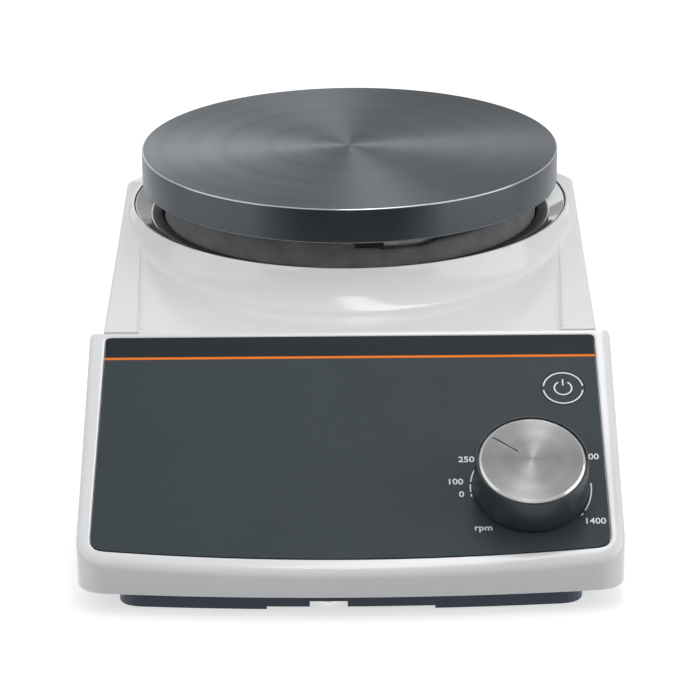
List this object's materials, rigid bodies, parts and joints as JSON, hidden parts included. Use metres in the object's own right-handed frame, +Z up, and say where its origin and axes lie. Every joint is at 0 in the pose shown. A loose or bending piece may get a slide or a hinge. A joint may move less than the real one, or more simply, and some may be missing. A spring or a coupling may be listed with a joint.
{
  "type": "magnetic stirrer",
  "caption": "Compact laboratory magnetic stirrer: round dark plate on a white tapered casing, sloping dark control panel with a metal-capped speed knob and a touch power key.",
  "frame": {"origin": "on the bench, under the middle of the object's width and depth", "axes": "+Z up, +Y from the control panel towards the back, +X to the right of someone facing the panel"},
  "size_m": [0.168, 0.277, 0.094],
  "materials": {
    "white_moulding": "glossy white moulded plastic",
    "panel_foil": "satin printed foil, blue-grey with an orange line",
    "base_plastic": "fine-grained anthracite plastic",
    "ring_plastic": "polished anthracite plastic",
    "plate_metal": "dark coated aluminium, turned in fine circles",
    "felt": "pressed mineral felt",
    "bare_aluminium": "plain aluminium",
    "bright_steel": "zinc-plated steel",
    "ground_steel": "ground steel",
    "knob_plastic": "satin dark plastic",
    "knob_metal": "steel turned in fine circles",
    "winding": "enamelled copper on laminated iron",
    "magnet_metal": "nickel-plated magnet",
    "dark_plastic": "black moulded plastic",
    "contact_brass": "plated brass",
    "board_green": "solder-masked circuit board",
    "fuse_glass": "clear glass",
    "foot_rubber": "soft black rubber",
    "lead_jacket": "flexible lead jacket"
  },
  "bodies": {
    "casing": {"housing_shell": "white_moulding", "front_bezel": "white_moulding", "control_panel": "panel_foil", "base_shell": "base_plastic", "drip_ring": "ring_plastic", "stir_plate": "plate_metal", "insulation_ring": "felt", "shield_pan": "bare_aluminium", "chassis": "bare_aluminium", "plate_standoff_1": "bright_steel", "plate_standoff_2": "bright_steel", "plate_standoff_3": "bright_steel", "plate_screw_1": "bright_steel", "plate_screw_2": "bright_steel", "plate_screw_3": "bright_steel", "bonding_tab": "bright_steel", "housing_screw_1": "bright_steel", "housing_screw_2": "bright_steel", "housing_screw_3": "bright_steel", "housing_screw_4": "bright_steel", "service_screw": "bright_steel", "encoder_nut": "bright_steel", "rod_bush": "bright_steel", "bearing_lower": "ground_steel", "bearing_upper": "ground_steel", "motor_can": "ground_steel", "stator": "winding", "rim_block": "dark_plastic", "encoder_body": "dark_plastic", "key_switch": "dark_plastic", "transformer": "dark_plastic", "capacitor": "dark_plastic", "mains_inlet": "dark_plastic", "pin_line": "contact_brass", "pin_earth": "contact_brass", "pin_neutral": "contact_brass", "control_board": "board_green", "power_board": "board_green", "rubber_foot_1": "foot_rubber", "rubber_foot_2": "foot_rubber", "rubber_foot_3": "foot_rubber", "rubber_foot_4": "foot_rubber", "control_lead": "lead_jacket", "motor_lead": "lead_jacket", "mains_lead": "lead_jacket"},
    "speed_knob": {"knob_body": "knob_plastic", "knob_cap": "knob_metal", "encoder_shaft": "bright_steel"},
    "power_key": {"power_key": "panel_foil"},
    "drive_rotor": {"motor_shaft": "ground_steel", "motor_rotor": "magnet_metal", "magnet_carrier": "ground_steel", "carrier_screw": "bright_steel", "magnet_left": "magnet_metal", "magnet_right": "magnet_metal"},
    "fuse_drawer": {"fuse_drawer": "dark_plastic", "fuse_1": "fuse_glass", "fuse_2": "fuse_glass"}
  },
  "joints": [
    {"name": "knob_turn", "type": "hinge", "parent": "casing", "child": "speed_knob", "pos_m": [0.05585, -0.11016, 0.03093], "axis": [0, -0.4772, 0.8788], "range_deg": [-178, 45]},
    {"name": "key_press", "type": "slide", "parent": "casing", "child": "power_key", "axis": [0, 0.4772, -0.8788], "range_m": [0, 0.0005], "stiffness_N_per_m": 1500, "springref_m": -0.0002},
    {"name": "rotor_spin", "type": "hinge", "parent": "casing", "child": "drive_rotor", "pos_m": [0, 0.047, 0.06], "axis": [0, 0, 1], "continuous": true},
    {"name": "fuse_slide", "type": "slide", "parent": "casing", "child": "fuse_drawer", "axis": [0, 1, 0], "range_m": [0, 0.022]}
  ]
}
